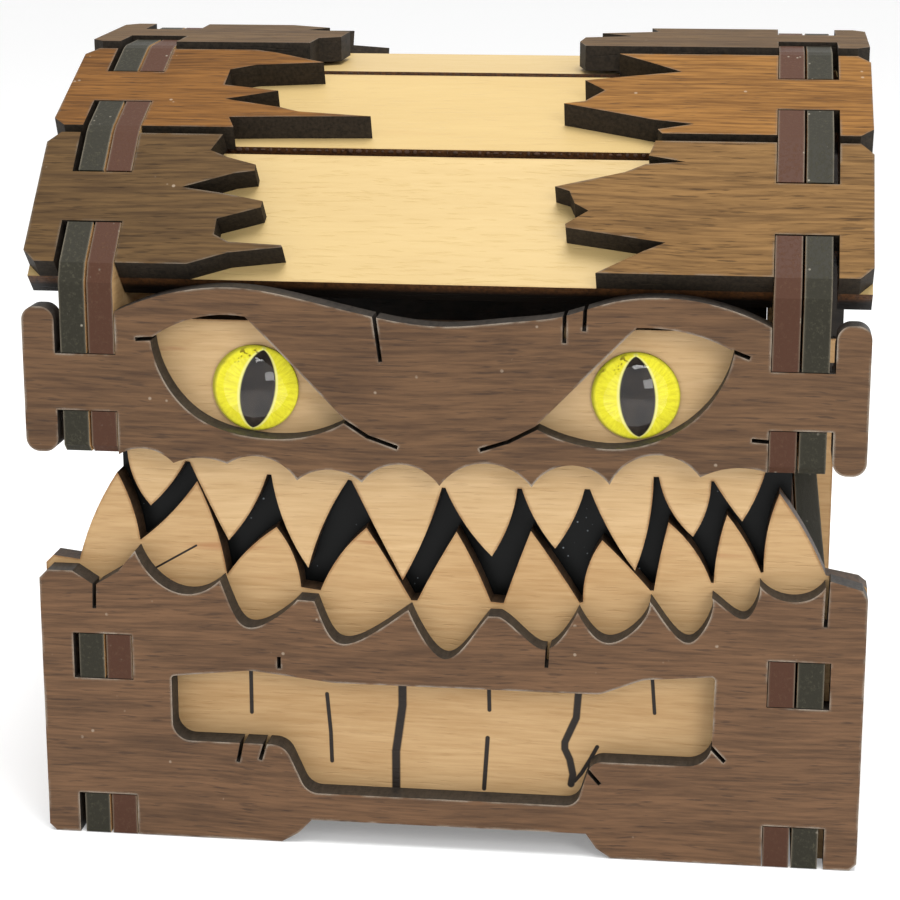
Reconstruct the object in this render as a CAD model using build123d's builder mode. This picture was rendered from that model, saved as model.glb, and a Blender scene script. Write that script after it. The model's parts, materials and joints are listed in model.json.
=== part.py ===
"""Jaw-fronted dice chest: layered 3 mm plywood box with a hinged, arched plank lid.

Millimetres. X runs left to right, Y from front to back, Z up. The origin is at the
bottom centre of the closed chest. Every panel is a separate sheet: stained outer
sheets over pale inner sheets, with box tenons through notched panel ends.
"""
import os
from math import atan2, cos, degrees, radians, sin, tan

from build123d import *

os.makedirs("parts", exist_ok=True)

# ---- driving sizes -----------------------------------------------------------------
SHEET = 3.0             # thickness of every plywood sheet
NOTCH_IN = 37.0         # inner end of the notches that take the side sheets
SIDE_GAP = 0.3          # gap between the two side sheets of one side
SIDE_ROOM = 0.7         # room outside the side sheets in the notches
TAB = 3.8               # width of the tabs outside the notches
BACK_TAB_CUT = 1.5      # the base's back panels end this much further in
PLANK = 18.75           # width of one lid plank, measured along the arch
PLANK_ANGLES = (45.0, 24.0, 2.5, -24.0, -45.0)
TOP_BOARD_LIFT = 0.5    # the top boards stand this much off their slat
BASE_TOP = 32.7         # top of the base's front tabs and sides
JAW = 14.3              # height of the open jaw between base and lid
FACE_HEIGHT = 19.9      # from the lid's lower end to the start of the arch
BODY_SLIP = 0.4         # the lid sits this far left of centre, the base this far right
FOOT_RISE = 2.9         # height of the raised edge between the feet
FOOT_IN = 16.6          # half length of that raised edge
FLOOR_LIFT = 3.2        # underside of the floor panel

WEB = 7.2               # width of the web between the two notches of a plank end
FACE_WEB_START = 5.0    # height of the face's web above the lid's lower end
FACE_WEB = 6.6          # height of that web
HOLE_START = 19.5       # lower edge of the base's tenon holes
HOLE = 5.6              # height of those holes
LOW_NOTCH = 5.0         # height of the open notches at the base's bottom corners
CORNER = 1.6            # rounding of tabs
FIT = 0.1               # clearance between sheets that are fitted together
PLAY = 0.5              # clearance between the lid and the base

EYE_RADIUS = 5.0        # glass domes
EYE_HEIGHT = 3.0        # how far a dome stands out from the disc behind it
IRIS_SHEET = 0.3        # thickness of the disc behind a dome
IRIS_GAP = 0.03         # air between disc and dome

HINGE_X = 24.0          # distance of each hinge from the middle
LEAF_WIDTH = 16.0
LEAF_HEIGHT = 8.0
LEAF_SHEET = 0.8
KNUCKLE_RADIUS = 1.6
PIN_RADIUS = 0.8
PIN_CLEARANCE = 0.05    # running clearance round the pin
KNUCKLE_GAP = 0.2       # side gap between knuckles
SCREW_RADIUS = 0.75
SCREW_HEAD_RADIUS = 1.4
SCREW_LENGTH = 4.5
SCREW_SPACING = 9.0

# ---- sizes that follow -------------------------------------------------------------
SIDE_IN = NOTCH_IN + FIT                    # inner face of the inner side sheet
SIDE_OUT = SIDE_IN + 2 * SHEET + SIDE_GAP   # outer face of the outer side sheet
NOTCH_OUT = SIDE_OUT + SIDE_ROOM
HALF_WIDTH = NOTCH_OUT + TAB
LID_BOTTOM = BASE_TOP + JAW
FACE_TOP = LID_BOTTOM + FACE_HEIGHT
BACK_TOP = LID_BOTTOM - PLAY
ARCH_RUN = PLANK * sum(cos(radians(a)) for a in PLANK_ANGLES)
DEPTH = ARCH_RUN + 2 * SHEET
HINGE_OUT = KNUCKLE_RADIUS + FIT            # pivot axis behind the back panels
FRONT = -(DEPTH + HINGE_OUT + KNUCKLE_RADIUS) / 2
BACK = FRONT + DEPTH
BASE_X = BODY_SLIP
LID_X = -BODY_SLIP
BACKING_FRONT = FRONT + 2 * SHEET + PLAY
HINGE_Z = (LID_BOTTOM + BACK_TOP) / 2
HINGE_Y = BACK + HINGE_OUT
FACE_WEB_EDGES = (LID_BOTTOM + FACE_WEB_START, LID_BOTTOM + FACE_WEB_START + FACE_WEB)
HOLE_EDGES = (HOLE_START, HOLE_START + HOLE)

# The outlines below are drawn for these sizes and follow when a size is changed.
DRAWN_IN, DRAWN_TOP, DRAWN_JAW, DRAWN_FACE, DRAWN_PLANK = 37.0, 32.7, 14.3, 19.9, 18.75
ACROSS = NOTCH_IN / DRAWN_IN


def on_base(x, z):
    """Drawn point of the base's front."""
    return (x * ACROSS, z * BASE_TOP / DRAWN_TOP)


def in_jaw(x, z):
    """Drawn point of a tooth."""
    return (x * ACROSS, BASE_TOP + (z - DRAWN_TOP) * JAW / DRAWN_JAW)


def on_face(x, z):
    """Drawn point of the lid's face, with z above the lid's lower end."""
    return (x * ACROSS, LID_BOTTOM + z * FACE_HEIGHT / DRAWN_FACE)


def on_board(x, along):
    """Drawn point of a plank."""
    return (x * ACROSS, along * PLANK / DRAWN_PLANK)


# Corners of the arch, on the seam between the outer boards and the inner slats.
ARCH = [(FRONT + SHEET, FACE_TOP)]
for angle in PLANK_ANGLES:
    ARCH.append((ARCH[-1][0] + PLANK * cos(radians(angle)), ARCH[-1][1] + PLANK * sin(radians(angle))))


def front_plane(y, x):
    """Sketch plane facing the front, with sketch X along X and sketch Y along Z."""
    return Plane(origin=(x, y, 0), x_dir=(1, 0, 0), z_dir=(0, -1, 0))


def side_plane(x):
    """Sketch plane facing right, with sketch X along Y and sketch Y along Z."""
    return Plane(origin=(x, 0, 0), x_dir=(0, 1, 0), z_dir=(1, 0, 0))


def plank_plane(row, out):
    """Plane of one plank: sketch Y climbs along the arch, `out` is above the seam."""
    turn = radians(PLANK_ANGLES[row])
    y, z = ARCH[row]
    return Plane(origin=(LID_X, y - out * sin(turn), z + out * cos(turn)),
                 x_dir=(1, 0, 0), z_dir=(0, -sin(turn), cos(turn)))


def finish(builder, name):
    """Label a piece and write it."""
    builder.part.label = name
    export_step(builder.part, f"parts/{name}.step")


def slot(points, width):
    """A thin saw slot along a line of points."""
    for start, end in zip(points, points[1:]):
        span = Vector(*end) - Vector(*start)
        middle = Vector(*start) + span / 2
        with Locations(Location(middle, (0, 0, degrees(atan2(span.Y, span.X))))):
            Rectangle(span.length + width, width, mode=Mode.SUBTRACT)


def tenon_windows(low, high, outer=NOTCH_OUT):
    """Rectangular cuts for the side sheets, one at each end of a panel."""
    with Locations(*[(end * (NOTCH_IN + outer) / 2, (low + high) / 2) for end in (-1, 1)]):
        Rectangle(outer - NOTCH_IN, high - low, mode=Mode.SUBTRACT)


# ---- base: front sheets ------------------------------------------------------------
# The gum line runs as a row of hollows, each a smooth line of points.
GUM_HOLLOWS = [
    [(-36.3, 35.4), (-35.2, 33.3), (-32.7, 31.0), (-26.3, 32.2)],
    [(-26.3, 32.2), (-25.2, 29.2), (-23.5, 26.7), (-19.9, 27.8), (-17.2, 30.2)],
    [(-15.2, 30.1), (-14.3, 27.7), (-12.6, 25.2), (-8.8, 26.2), (-4.2, 29.5)],
    [(-4.2, 29.5), (-2.8, 26.6), (0.0, 23.7), (3.2, 26.6), (5.0, 29.1)],
    [(6.3, 29.1), (8.4, 27.5), (11.8, 25.4), (13.6, 27.0), (15.3, 30.0)],
    [(15.3, 30.0), (16.3, 28.3), (18.5, 26.5), (21.0, 27.4), (23.5, 31.6)],
    [(23.5, 31.6), (25.6, 28.7), (28.1, 26.9), (29.5, 28.2), (30.5, 32.3)],
    [(30.5, 32.3), (32.4, 30.8), (34.3, 30.0), (35.3, 31.2), (35.8, 34.0)],
    [(35.8, 34.0), (37.4, 32.7), (40.0, 32.2), (43.1, 34.0)],
]
# Lower teeth: left foot, tip, right foot, and how far each flank bows out.
LOWER_TEETH = [
    ((-43.8, 33.2), (-38.9, 44.0), (-36.4, 35.9), 0.5, 0.4),
    ((-36.3, 35.9), (-29.4, 43.2), (-26.1, 32.1), -0.4, 0.45),
    ((-26.0, 32.1), (-20.1, 38.0), (-17.3, 30.8), 0.4, 0.6),
    ((-15.0, 30.5), (-9.5, 38.3), (-4.3, 29.7), 0.6, 0.1),
    ((-3.6, 29.7), (1.0, 38.2), (5.0, 29.9), 0.1, 0.2),
    ((6.5, 29.8), (9.6, 38.6), (15.3, 30.2), 0.05, 0.1),
    ((15.7, 30.3), (17.8, 37.8), (23.4, 32.0), 0.65, 0.1),
    ((23.8, 32.0), (25.3, 40.2), (30.3, 33.2), 0.1, 0.6),
    ((30.6, 33.2), (31.9, 41.3), (35.9, 34.6), 0.3, 0.3),
    ((36.2, 34.7), (37.7, 44.0), (43.2, 34.6), 0.5, 0.35),
]
# Upper teeth, hanging: left foot, tip, right foot, bows of the flanks.
UPPER_TEETH = [
    ((-36.8, 46.6), (-34.2, 40.1), (-29.9, 45.6), 0.6, 0.3),
    ((-29.4, 45.5), (-25.0, 36.2), (-20.3, 44.3), 0.1, 0.5),
    ((-19.8, 44.3), (-15.6, 33.2), (-10.8, 44.0), 0.7, -0.5),
    ((-10.4, 43.9), (-4.5, 32.1), (0.1, 43.4), 0.05, 0.35),
    ((0.5, 43.4), (5.9, 35.4), (8.8, 43.6), 0.5, 0.5),
    ((9.3, 43.6), (13.2, 36.6), (16.5, 43.8), 0.4, 0.4),
    ((17.1, 43.8), (22.4, 34.3), (24.3, 45.5), 0.4, 0.5),
    ((24.9, 45.5), (28.9, 38.6), (30.8, 45.2), 0.7, 0.5),
    ((31.1, 45.2), (34.4, 40.6), (36.9, 46.7), 0.1, 0.25),
]
# Saw slots in the front panel, each a line of points.
BASE_SLOTS = [
    [(-41.3, 31.2), (-41.4, 28.4)],
    [(11.9, 25.6), (11.8, 23.4)],
    [(43.4, 34.6), (43.3, 29.6)],
    [(-24.1, 12.4), (-24.6, 10.0)],
    [(-21.3, 12.4), (-21.9, 10.4)],
    [(-19.5, 22.9), (-19.5, 21.9)],
    [(30.6, 14.6), (32.3, 12.8)],
    [(16.6, 10.9), (18.0, 9.3)],
]
SLOT_WIDTH = 0.45
# Corners of the window, each with its rounding.
WINDOW = [
    (-32.4, 20.2, 0.4), (-32.4, 12.2, 2.2), (-19.0, 12.2, 2.4), (-16.4, 6.3, 2.2), (15.4, 6.3, 1.8),
    (17.1, 11.9, 1.8), (30.9, 11.9, 2.8), (31.1, 22.9, 0.4), (23.0, 22.2, 4.0), (18.0, 20.2, 3.0),
    (-13.0, 20.2, 8.0), (-23.0, 21.3, 8.0),
]


def foot_line(half):
    """Bottom edge from right to left: two feet with a raised edge between them."""
    return [(half, 0.8), (half - 0.8, 0), (FOOT_IN + 2.9, 0), (FOOT_IN + 1.2, 0.4 * FOOT_RISE),
            (FOOT_IN, FOOT_RISE), (-FOOT_IN + 0.7, FOOT_RISE), (-FOOT_IN - 0.9, 0.4 * FOOT_RISE),
            (-FOOT_IN - 2.9, 0), (0.8 - half, 0), (-half, 0.8)]


with BuildPart() as front_panel:
    with BuildSketch(front_plane(FRONT + SHEET, BASE_X)):
        with BuildLine():
            left = Polyline((-HALF_WIDTH + 1.0, BASE_TOP), on_base(-43.9, 32.7), on_base(-41.3, 31.0),
                            on_base(-38.4, 32.8), on_base(*GUM_HOLLOWS[0][0]))
            here = left @ 1
            for points in GUM_HOLLOWS:
                start = Vector(*on_base(*points[0]))
                if (start - here).length > FIT:
                    Line(here, start)
                Spline(*[on_base(*point) for point in points])
                here = Vector(*on_base(*points[-1]))
            Polyline(here, on_base(43.7, 34.8), (HALF_WIDTH - 0.6, BASE_TOP + 1.1), (HALF_WIDTH, BASE_TOP),
                     *foot_line(HALF_WIDTH), (-HALF_WIDTH, BASE_TOP - 1.0), left @ 0)
        make_face()
        # Window over the pale sheet.
        with BuildLine():
            FilletPolyline(*[on_base(x, z) for x, z, _ in WINDOW],
                           radius=[radius for _, _, radius in WINDOW], close=True)
        make_face(mode=Mode.SUBTRACT)
        tenon_windows(*HOLE_EDGES)
        tenon_windows(-LOW_NOTCH, LOW_NOTCH)
        for points in BASE_SLOTS:
            slot([on_base(*point) for point in points], SLOT_WIDTH)
    extrude(amount=SHEET)
finish(front_panel, "front_panel")


def teeth(rows, side):
    """Bowed flanks of a row of teeth, joined by short flats; `side` is the side they bow to."""
    here = None
    for foot, tip, other, bow, other_bow in rows:
        foot, tip, other = in_jaw(*foot), in_jaw(*tip), in_jaw(*other)
        if here is not None:
            Line(here, foot)
        SagittaArc(foot, tip, side * bow)
        SagittaArc(tip, other, side * other_bow)
        here = other
    return in_jaw(*rows[0][0]), here


with BuildPart() as lower_teeth:
    with BuildSketch(front_plane(FRONT + 2 * SHEET, BASE_X)):
        with BuildLine():
            first, last = teeth(LOWER_TEETH, 1)
            Polyline(last, (HALF_WIDTH - 0.9, BASE_TOP + 1.2), (HALF_WIDTH, BASE_TOP + 0.5),
                     *foot_line(HALF_WIDTH), (-HALF_WIDTH, BASE_TOP), (-HALF_WIDTH + 0.9, BASE_TOP + 0.9),
                     first)
        make_face()
        tenon_windows(*HOLE_EDGES, outer=SIDE_OUT + FIT)
        tenon_windows(-LOW_NOTCH, LOW_NOTCH, outer=SIDE_OUT + FIT)
    extrude(amount=SHEET)
finish(lower_teeth, "lower_teeth")

BACKING_WING = SIDE_IN + 2.0    # the backing rests on the inner side sheets
with BuildPart() as mouth_backing:
    with BuildSketch(front_plane(BACKING_FRONT + SHEET, BASE_X)):
        with BuildLine():
            Polyline((-SIDE_IN + FIT, FLOOR_LIFT), (SIDE_IN - FIT, FLOOR_LIFT),
                     (SIDE_IN - FIT, BASE_TOP + FIT), (BACKING_WING, BASE_TOP + FIT),
                     (BACKING_WING, BACK_TOP), (-BACKING_WING, BACK_TOP),
                     (-BACKING_WING, BASE_TOP + FIT), (-SIDE_IN + FIT, BASE_TOP + FIT), close=True)
        make_face()
    extrude(amount=SHEET)
finish(mouth_backing, "mouth_backing")

# ---- base: sides, floor and back ---------------------------------------------------
JAW_RISE = 22.0         # the side's top edge climbs over this length, in front of the back


def base_side_outline():
    """Side sheet: tenons at both ends, a raised foot line and a jaw curve at the back."""
    front, back = FRONT + 2 * SHEET + FIT, BACK - 2 * SHEET - FIT
    low, high = HOLE_EDGES[0] + FIT, HOLE_EDGES[1] - FIT
    shoulder = (back - 6, BACK_TOP - FIT)
    foot = (back - JAW_RISE, BASE_TOP)
    Polyline(foot, (front, BASE_TOP), (front, high), (FRONT, high), (FRONT, low), (front, low),
             (front, LOW_NOTCH - FIT), (FRONT, LOW_NOTCH - FIT), (FRONT, 0), (front + 8, 0),
             (front + 11, FOOT_RISE), (back - 11, FOOT_RISE), (back - 8, 0), (BACK, 0),
             (BACK, LOW_NOTCH - FIT), (back, LOW_NOTCH - FIT), (back, low), (BACK, low),
             (BACK, high), (back, high), (back, BACK_TOP - FIT), shoulder)
    Spline(shoulder, foot, tangents=[(-1, -0.4), (-1, 0)])


def side_pair(name, outline, x):
    """Inner and outer sheet of the left and right side."""
    for hand, sign in (("left", -1), ("right", 1)):
        for layer, step in (("inner", 0), ("outer", SHEET + SIDE_GAP)):
            near = x + sign * (SIDE_IN + step + SHEET / 2)
            with BuildPart() as sheet:
                with BuildSketch(side_plane(near)):
                    with BuildLine():
                        outline()
                    make_face()
                extrude(amount=SHEET / 2, both=True)
            finish(sheet, f"{name}_{layer}_{hand}")


side_pair("base_side", base_side_outline, BASE_X)

with BuildPart() as floor_panel:
    floor_front = BACKING_FRONT + SHEET + FIT
    floor_back = BACK - 2 * SHEET - FIT
    with BuildSketch(Plane.XY.offset(FLOOR_LIFT)):
        with Locations((BASE_X, (floor_front + floor_back) / 2)):
            Rectangle(2 * (SIDE_IN - FIT), floor_back - floor_front)
    extrude(amount=SHEET)
finish(floor_panel, "floor_panel")

SCREW_PLACES = [(side * HINGE_X + step * SCREW_SPACING / 2) for side in (-1, 1) for step in (-1, 1)]
SCREW_OFFSET = KNUCKLE_RADIUS + LEAF_HEIGHT / 2     # screws above and below the pivot


def back_sheet(name, depth_in, x, half, low, high, holes, screw_z, outer=NOTCH_OUT):
    """One sheet of the back: tenon cuts at the ends and pilot holes for the screws."""
    with BuildPart() as sheet:
        with BuildSketch(front_plane(BACK - depth_in, x)):
            with BuildLine():
                if low:
                    Polyline((-half, high), (half, high), (half, low), (-half, low), (-half, high))
                else:
                    Polyline((-half, high), (half, high), *foot_line(half), (-half, high))
            make_face()
            for cut in holes:
                tenon_windows(*cut, outer=outer)
            with Locations(*[(place - x, screw_z) for place in SCREW_PLACES]):
                Circle(SCREW_RADIUS + PIN_CLEARANCE, mode=Mode.SUBTRACT)
        extrude(amount=SHEET)
    finish(sheet, name)


base_screw_z = HINGE_Z - SCREW_OFFSET
lid_screw_z = HINGE_Z + SCREW_OFFSET
base_cuts = [HOLE_EDGES, (-LOW_NOTCH, LOW_NOTCH)]
base_half = HALF_WIDTH - BACK_TAB_CUT
back_sheet("back_panel", 0, BASE_X, base_half, 0, BACK_TOP, base_cuts, base_screw_z)
back_sheet("back_liner", SHEET, BASE_X, base_half, 0, BACK_TOP, base_cuts, base_screw_z, SIDE_OUT + FIT)

# ---- lid: face and back ------------------------------------------------------------
# Lower edge of the face: points where it dips, and the crown between two dips.
FACE_DIPS = [(-37.0, -0.1), (-30.6, -0.9), (-24.3, -0.8), (-16.2, -2.5), (-8.7, -2.5), (0.2, -2.6),
             (10.7, -2.4), (19.5, -1.8), (29.6, -0.6), (37.0, 0.2)]
FACE_CROWNS = [(-34.6, 0.7), (-27.2, -0.2), (-20.7, 0.2), (-12.3, -1.1), (-5.2, -0.3), (5.6, 0.2),
               (15.2, 0.3), (24.7, 1.8), (33.6, 0.6)]
BROW = [(-37.0, 16.6), (-30.0, 19.0), (-23.5, 19.7), (-14.0, 18.2), (-7.7, 16.8), (0.5, 15.8),
        (8.2, 16.5), (14.0, 17.3), (19.0, 18.9), (26.0, 19.6), (32.0, 18.6), (37.0, 16.6)]
FACE_SLOTS = [
    [(-10.5, 4.5), (-8.0, 2.9), (-4.8, 1.8)],
    [(11.0, 4.4), (8.0, 2.8), (5.0, 1.8)],
    [(-32.8, 13.6), (-34.4, 13.5)],
    [(32.9, 13.8), (34.5, 13.2)],
    [(-7.2, 17.0), (-6.5, 11.8)],
    [(14.2, 17.6), (14.2, 14.5)],
    [(16.5, 18.6), (16.4, 15.9)],
    [(35.4, 3.8), (37.1, 3.7)],
]
# Eye openings: upper lid (three points), inner corner, then the curved lower lid.
EYE_OPENINGS = [
    ([(-32.9, 13.6), (-28.4, 15.9), (-21.9, 16.4)], (-10.4, 4.6),
     [(-14.5, 2.8), (-21.0, 2.4), (-28.2, 4.9), (-31.8, 9.5)]),
    ([(33.0, 13.8), (28.0, 15.7), (22.2, 16.2)], (10.9, 4.5),
     [(15.0, 2.9), (21.0, 2.4), (27.8, 5.1), (31.8, 9.9)]),
]
EYE_PLACES = {"left": (-21.4, 7.6), "right": (22.1, 7.9)}
FACE_TAB_TOP = 17.0
TEETH_SHEET_TOP = 15.4


def tab_ends(top):
    """Rounded tabs at both ends, down to the lid's lower end, with their webs."""
    high, low = on_face(0, top)[1], LID_BOTTOM
    for end in (-1, 1):
        with Locations((end * (HALF_WIDTH + NOTCH_OUT) / 2, (high + low) / 2)):
            RectangleRounded(TAB, high - low, min(CORNER, 0.45 * TAB))
        with Locations((end * (NOTCH_OUT + NOTCH_IN) / 2, sum(FACE_WEB_EDGES) / 2)):
            Rectangle(NOTCH_OUT - NOTCH_IN + 2 * CORNER, FACE_WEB)


with BuildPart() as face_panel:
    with BuildSketch(front_plane(FRONT + SHEET, LID_X)):
        with BuildLine():
            brow = Spline(*[on_face(*point) for point in BROW])
            Line(brow @ 1, on_face(*FACE_DIPS[-1]))
            for dip, crown, other in zip(FACE_DIPS, FACE_CROWNS, FACE_DIPS[1:]):
                ThreePointArc(on_face(*dip), on_face(*crown), on_face(*other))
            Line(on_face(*FACE_DIPS[0]), brow @ 0)
        make_face()
        tab_ends(FACE_TAB_TOP)
        for upper, corner, lower in EYE_OPENINGS:
            with BuildLine():
                ThreePointArc(*[on_face(*point) for point in upper])
                Line(on_face(*upper[-1]), on_face(*corner))
                Spline(*[on_face(*point) for point in [corner, *lower, upper[0]]])
            make_face(mode=Mode.SUBTRACT)
        for points in FACE_SLOTS:
            slot([on_face(*point) for point in points], SLOT_WIDTH)
    extrude(amount=SHEET)
finish(face_panel, "face_panel")

with BuildPart() as upper_teeth:
    with BuildSketch(front_plane(FRONT + 2 * SHEET, LID_X)):
        with BuildLine():
            first, last = teeth(UPPER_TEETH, -1)
            Polyline(last, (NOTCH_IN, LID_BOTTOM + PLAY), on_face(DRAWN_IN, TEETH_SHEET_TOP),
                     on_face(-DRAWN_IN, TEETH_SHEET_TOP), (-NOTCH_IN, LID_BOTTOM + PLAY), first)
        make_face()
        tab_ends(TEETH_SHEET_TOP)
    extrude(amount=SHEET)
finish(upper_teeth, "upper_teeth")

back_arch = ARCH[-1][1]
liner_top = back_arch - SHEET * sin(radians(PLANK_ANGLES[0])) - 2 * FIT
lid_cuts = [(LID_BOTTOM - LOW_NOTCH, FACE_WEB_EDGES[0]), (FACE_WEB_EDGES[1], back_arch + SHEET)]
back_sheet("lid_back_panel", 0, LID_X, HALF_WIDTH, LID_BOTTOM, back_arch - FIT, lid_cuts, lid_screw_z)
back_sheet("lid_back_liner", SHEET, LID_X, HALF_WIDTH, LID_BOTTOM, liner_top, lid_cuts, lid_screw_z)


# ---- lid: sides --------------------------------------------------------------------
def on_plank(row, along, out):
    """(Y, Z) of a point `along` a plank and `out` above the seam."""
    turn = radians(PLANK_ANGLES[row])
    y, z = ARCH[row]
    return (y + along * cos(turn) - out * sin(turn), z + along * sin(turn) + out * cos(turn))


def lid_side_outline():
    """Arched side sheet, castellated so that it fills the notches of every plank end."""
    front, back = FRONT + 2 * SHEET + FIT, BACK - 2 * SHEET - FIT
    low, high = FACE_WEB_EDGES[0] - FIT, FACE_WEB_EDGES[1] + FIT
    web_start, web_end = (PLANK - WEB) / 2 - FIT, (PLANK + WEB) / 2 + FIT
    points = [(FRONT + 0.9, LID_BOTTOM), (FRONT, LID_BOTTOM + 0.9), (FRONT, low), (front, low),
              (front, high), (FRONT, high), (FRONT, FACE_TOP)]
    for row in range(len(PLANK_ANGLES)):
        points += [on_plank(row, 0, SHEET), on_plank(row, web_start, SHEET),
                   on_plank(row, web_start, -SHEET - FIT), on_plank(row, web_end, -SHEET - FIT),
                   on_plank(row, web_end, SHEET), on_plank(row, PLANK, SHEET)]
    points += [(BACK, ARCH[-1][1]), (BACK, high), (back, high), (back, low), (BACK, low),
               (BACK, LID_BOTTOM + 0.9), (BACK - 0.9, LID_BOTTOM)]
    Polyline(*points, close=True)


side_pair("lid_side", lid_side_outline, LID_X)

# ---- lid: slats and broken boards --------------------------------------------------
ROW_NAMES = ("front", "upper_front", "top", "upper_back", "back")
# Broken inner ends of the outer boards, from the lower edge up: (across, along).
BREAKS = {
    ("left", 0): [(-29.0, 0.0), (-24.2, 1.8), (-18.0, 2.7), (-18.2, 3.0), (-24.3, 3.3), (-26.1, 4.3),
                  (-26.1, 6.5), (-21.2, 8.2), (-21.1, 9.1), (-25.8, 10.1), (-30.8, 10.9), (-25.0, 13.0),
                  (-22.6, 13.4), (-22.6, 14.3), (-26.0, 15.3), (-28.2, 16.3), (-27.0, DRAWN_PLANK)],
    ("right", 0): [(17.3, 0.0), (22.6, 3.2), (25.0, 4.4), (13.8, 6.2), (13.7, 6.7), (16.2, 8.6),
                   (14.6, 9.6), (13.9, 11.3), (12.2, 11.9), (20.0, 14.1), (22.3, 15.3), (26.8, 15.7),
                   (22.6, 16.5), (23.3, DRAWN_PLANK)],
    ("left", 1): [(-26.0, 0.0), (-27.0, 2.4), (-20.0, 2.7), (-10.2, 3.0), (-19.0, 3.9), (-21.2, 4.8),
                  (-28.3, 6.6), (-22.2, 8.7), (-29.0, 10.0), (-29.0, 13.7), (-26.0, 14.9), (-17.8, 15.7),
                  (-24.0, 18.0), (-27.0, DRAWN_PLANK)],
    ("right", 1): [(24.0, 0.0), (23.4, 1.0), (27.5, 2.3), (23.0, 3.1), (12.2, 6.6), (14.6, 7.2),
                   (16.8, 9.8), (14.3, 12.1), (20.0, 13.3), (25.6, 14.4), (22.0, 16.5), (17.8, DRAWN_PLANK)],
    ("left", 2): [(-20.2, 0.0), (-20.0, 5.0), (-17.4, 6.5), (-17.2, 12.0), (-23.0, 13.5), (-20.5, 16.0),
                  (-26.0, DRAWN_PLANK)],
    ("right", 2): [(13.8, 0.0), (12.8, 4.0), (13.2, 8.5), (19.0, 10.2), (15.0, 13.0), (22.0, 15.0),
                   (21.0, DRAWN_PLANK)],
}
OTHER = {"left": "right", "right": "left"}
for hand in OTHER:          # the rear boards are the front ones turned round
    for row in (0, 1):
        BREAKS[(hand, 4 - row)] = [(-x, DRAWN_PLANK - y) for x, y in reversed(BREAKS[(OTHER[hand], row)])]


def end_notches():
    """The two open notches at each plank end, leaving the web between them."""
    reach = PLANK / 2 - WEB / 2
    for end in (-1, 1):
        for along in (reach / 2, PLANK - reach / 2):
            with Locations((end * (NOTCH_IN + NOTCH_OUT) / 2, along)):
                Rectangle(NOTCH_OUT - NOTCH_IN, reach + 2 * FIT, mode=Mode.SUBTRACT)


for row, row_name in enumerate(ROW_NAMES):
    # Inner slats are trimmed where two planks meet at an angle.
    angles = (PLANK_ANGLES[0], *PLANK_ANGLES, PLANK_ANGLES[-1])
    low = SHEET * tan(radians(angles[row] - angles[row + 1]) / 2) + FIT
    high = PLANK - SHEET * tan(radians(angles[row + 1] - angles[row + 2]) / 2) - FIT
    with BuildPart() as slat:
        with BuildSketch(plank_plane(row, -SHEET)):
            with Locations((0, (low + high) / 2)):
                Rectangle(2 * HALF_WIDTH, high - low)
            end_notches()
        extrude(amount=SHEET)
    finish(slat, f"lid_slat_{row_name}")

    for hand, sign in (("left", -1), ("right", 1)):
        with BuildPart() as board:
            with BuildSketch(plank_plane(row, TOP_BOARD_LIFT if row_name == "top" else 0)):
                with BuildLine():
                    Polyline(*[on_board(*point) for point in BREAKS[(hand, row)]],
                             (sign * (HALF_WIDTH - CORNER), PLANK),
                             (sign * HALF_WIDTH, PLANK - CORNER), (sign * HALF_WIDTH, CORNER),
                             (sign * (HALF_WIDTH - CORNER), 0), close=True)
                make_face()
                end_notches()
                with Locations((0, PLANK / 2)):     # keeps neighbouring boards clear of each other
                    Rectangle(3 * HALF_WIDTH, PLANK - 2 * FIT, mode=Mode.INTERSECT)
            extrude(amount=SHEET)
        finish(board, f"board_{row_name}_{hand}")

# ---- eyes --------------------------------------------------------------------------
IRIS_FRONT = FRONT + SHEET - IRIS_SHEET
DOME_BACK = IRIS_FRONT - IRIS_GAP
EYE_SPHERE = (EYE_RADIUS ** 2 + EYE_HEIGHT ** 2) / (2 * EYE_HEIGHT)

for hand, place in EYE_PLACES.items():
    x, z = on_face(*place)
    with BuildPart() as iris:
        with BuildSketch(front_plane(IRIS_FRONT + IRIS_SHEET, LID_X)):
            with Locations((x, z)):
                Circle(EYE_RADIUS)
        extrude(amount=IRIS_SHEET)
    finish(iris, f"iris_{hand}")

    with BuildPart() as dome:
        with Locations((LID_X + x, DOME_BACK - EYE_HEIGHT + EYE_SPHERE, z)):
            Sphere(EYE_SPHERE)
        split(bisect_by=front_plane(DOME_BACK, 0), keep=Keep.TOP)
    finish(dome, f"eye_{hand}")

# ---- hinges ------------------------------------------------------------------------
KNUCKLE = (LEAF_WIDTH - 2 * KNUCKLE_GAP) / 3


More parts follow.
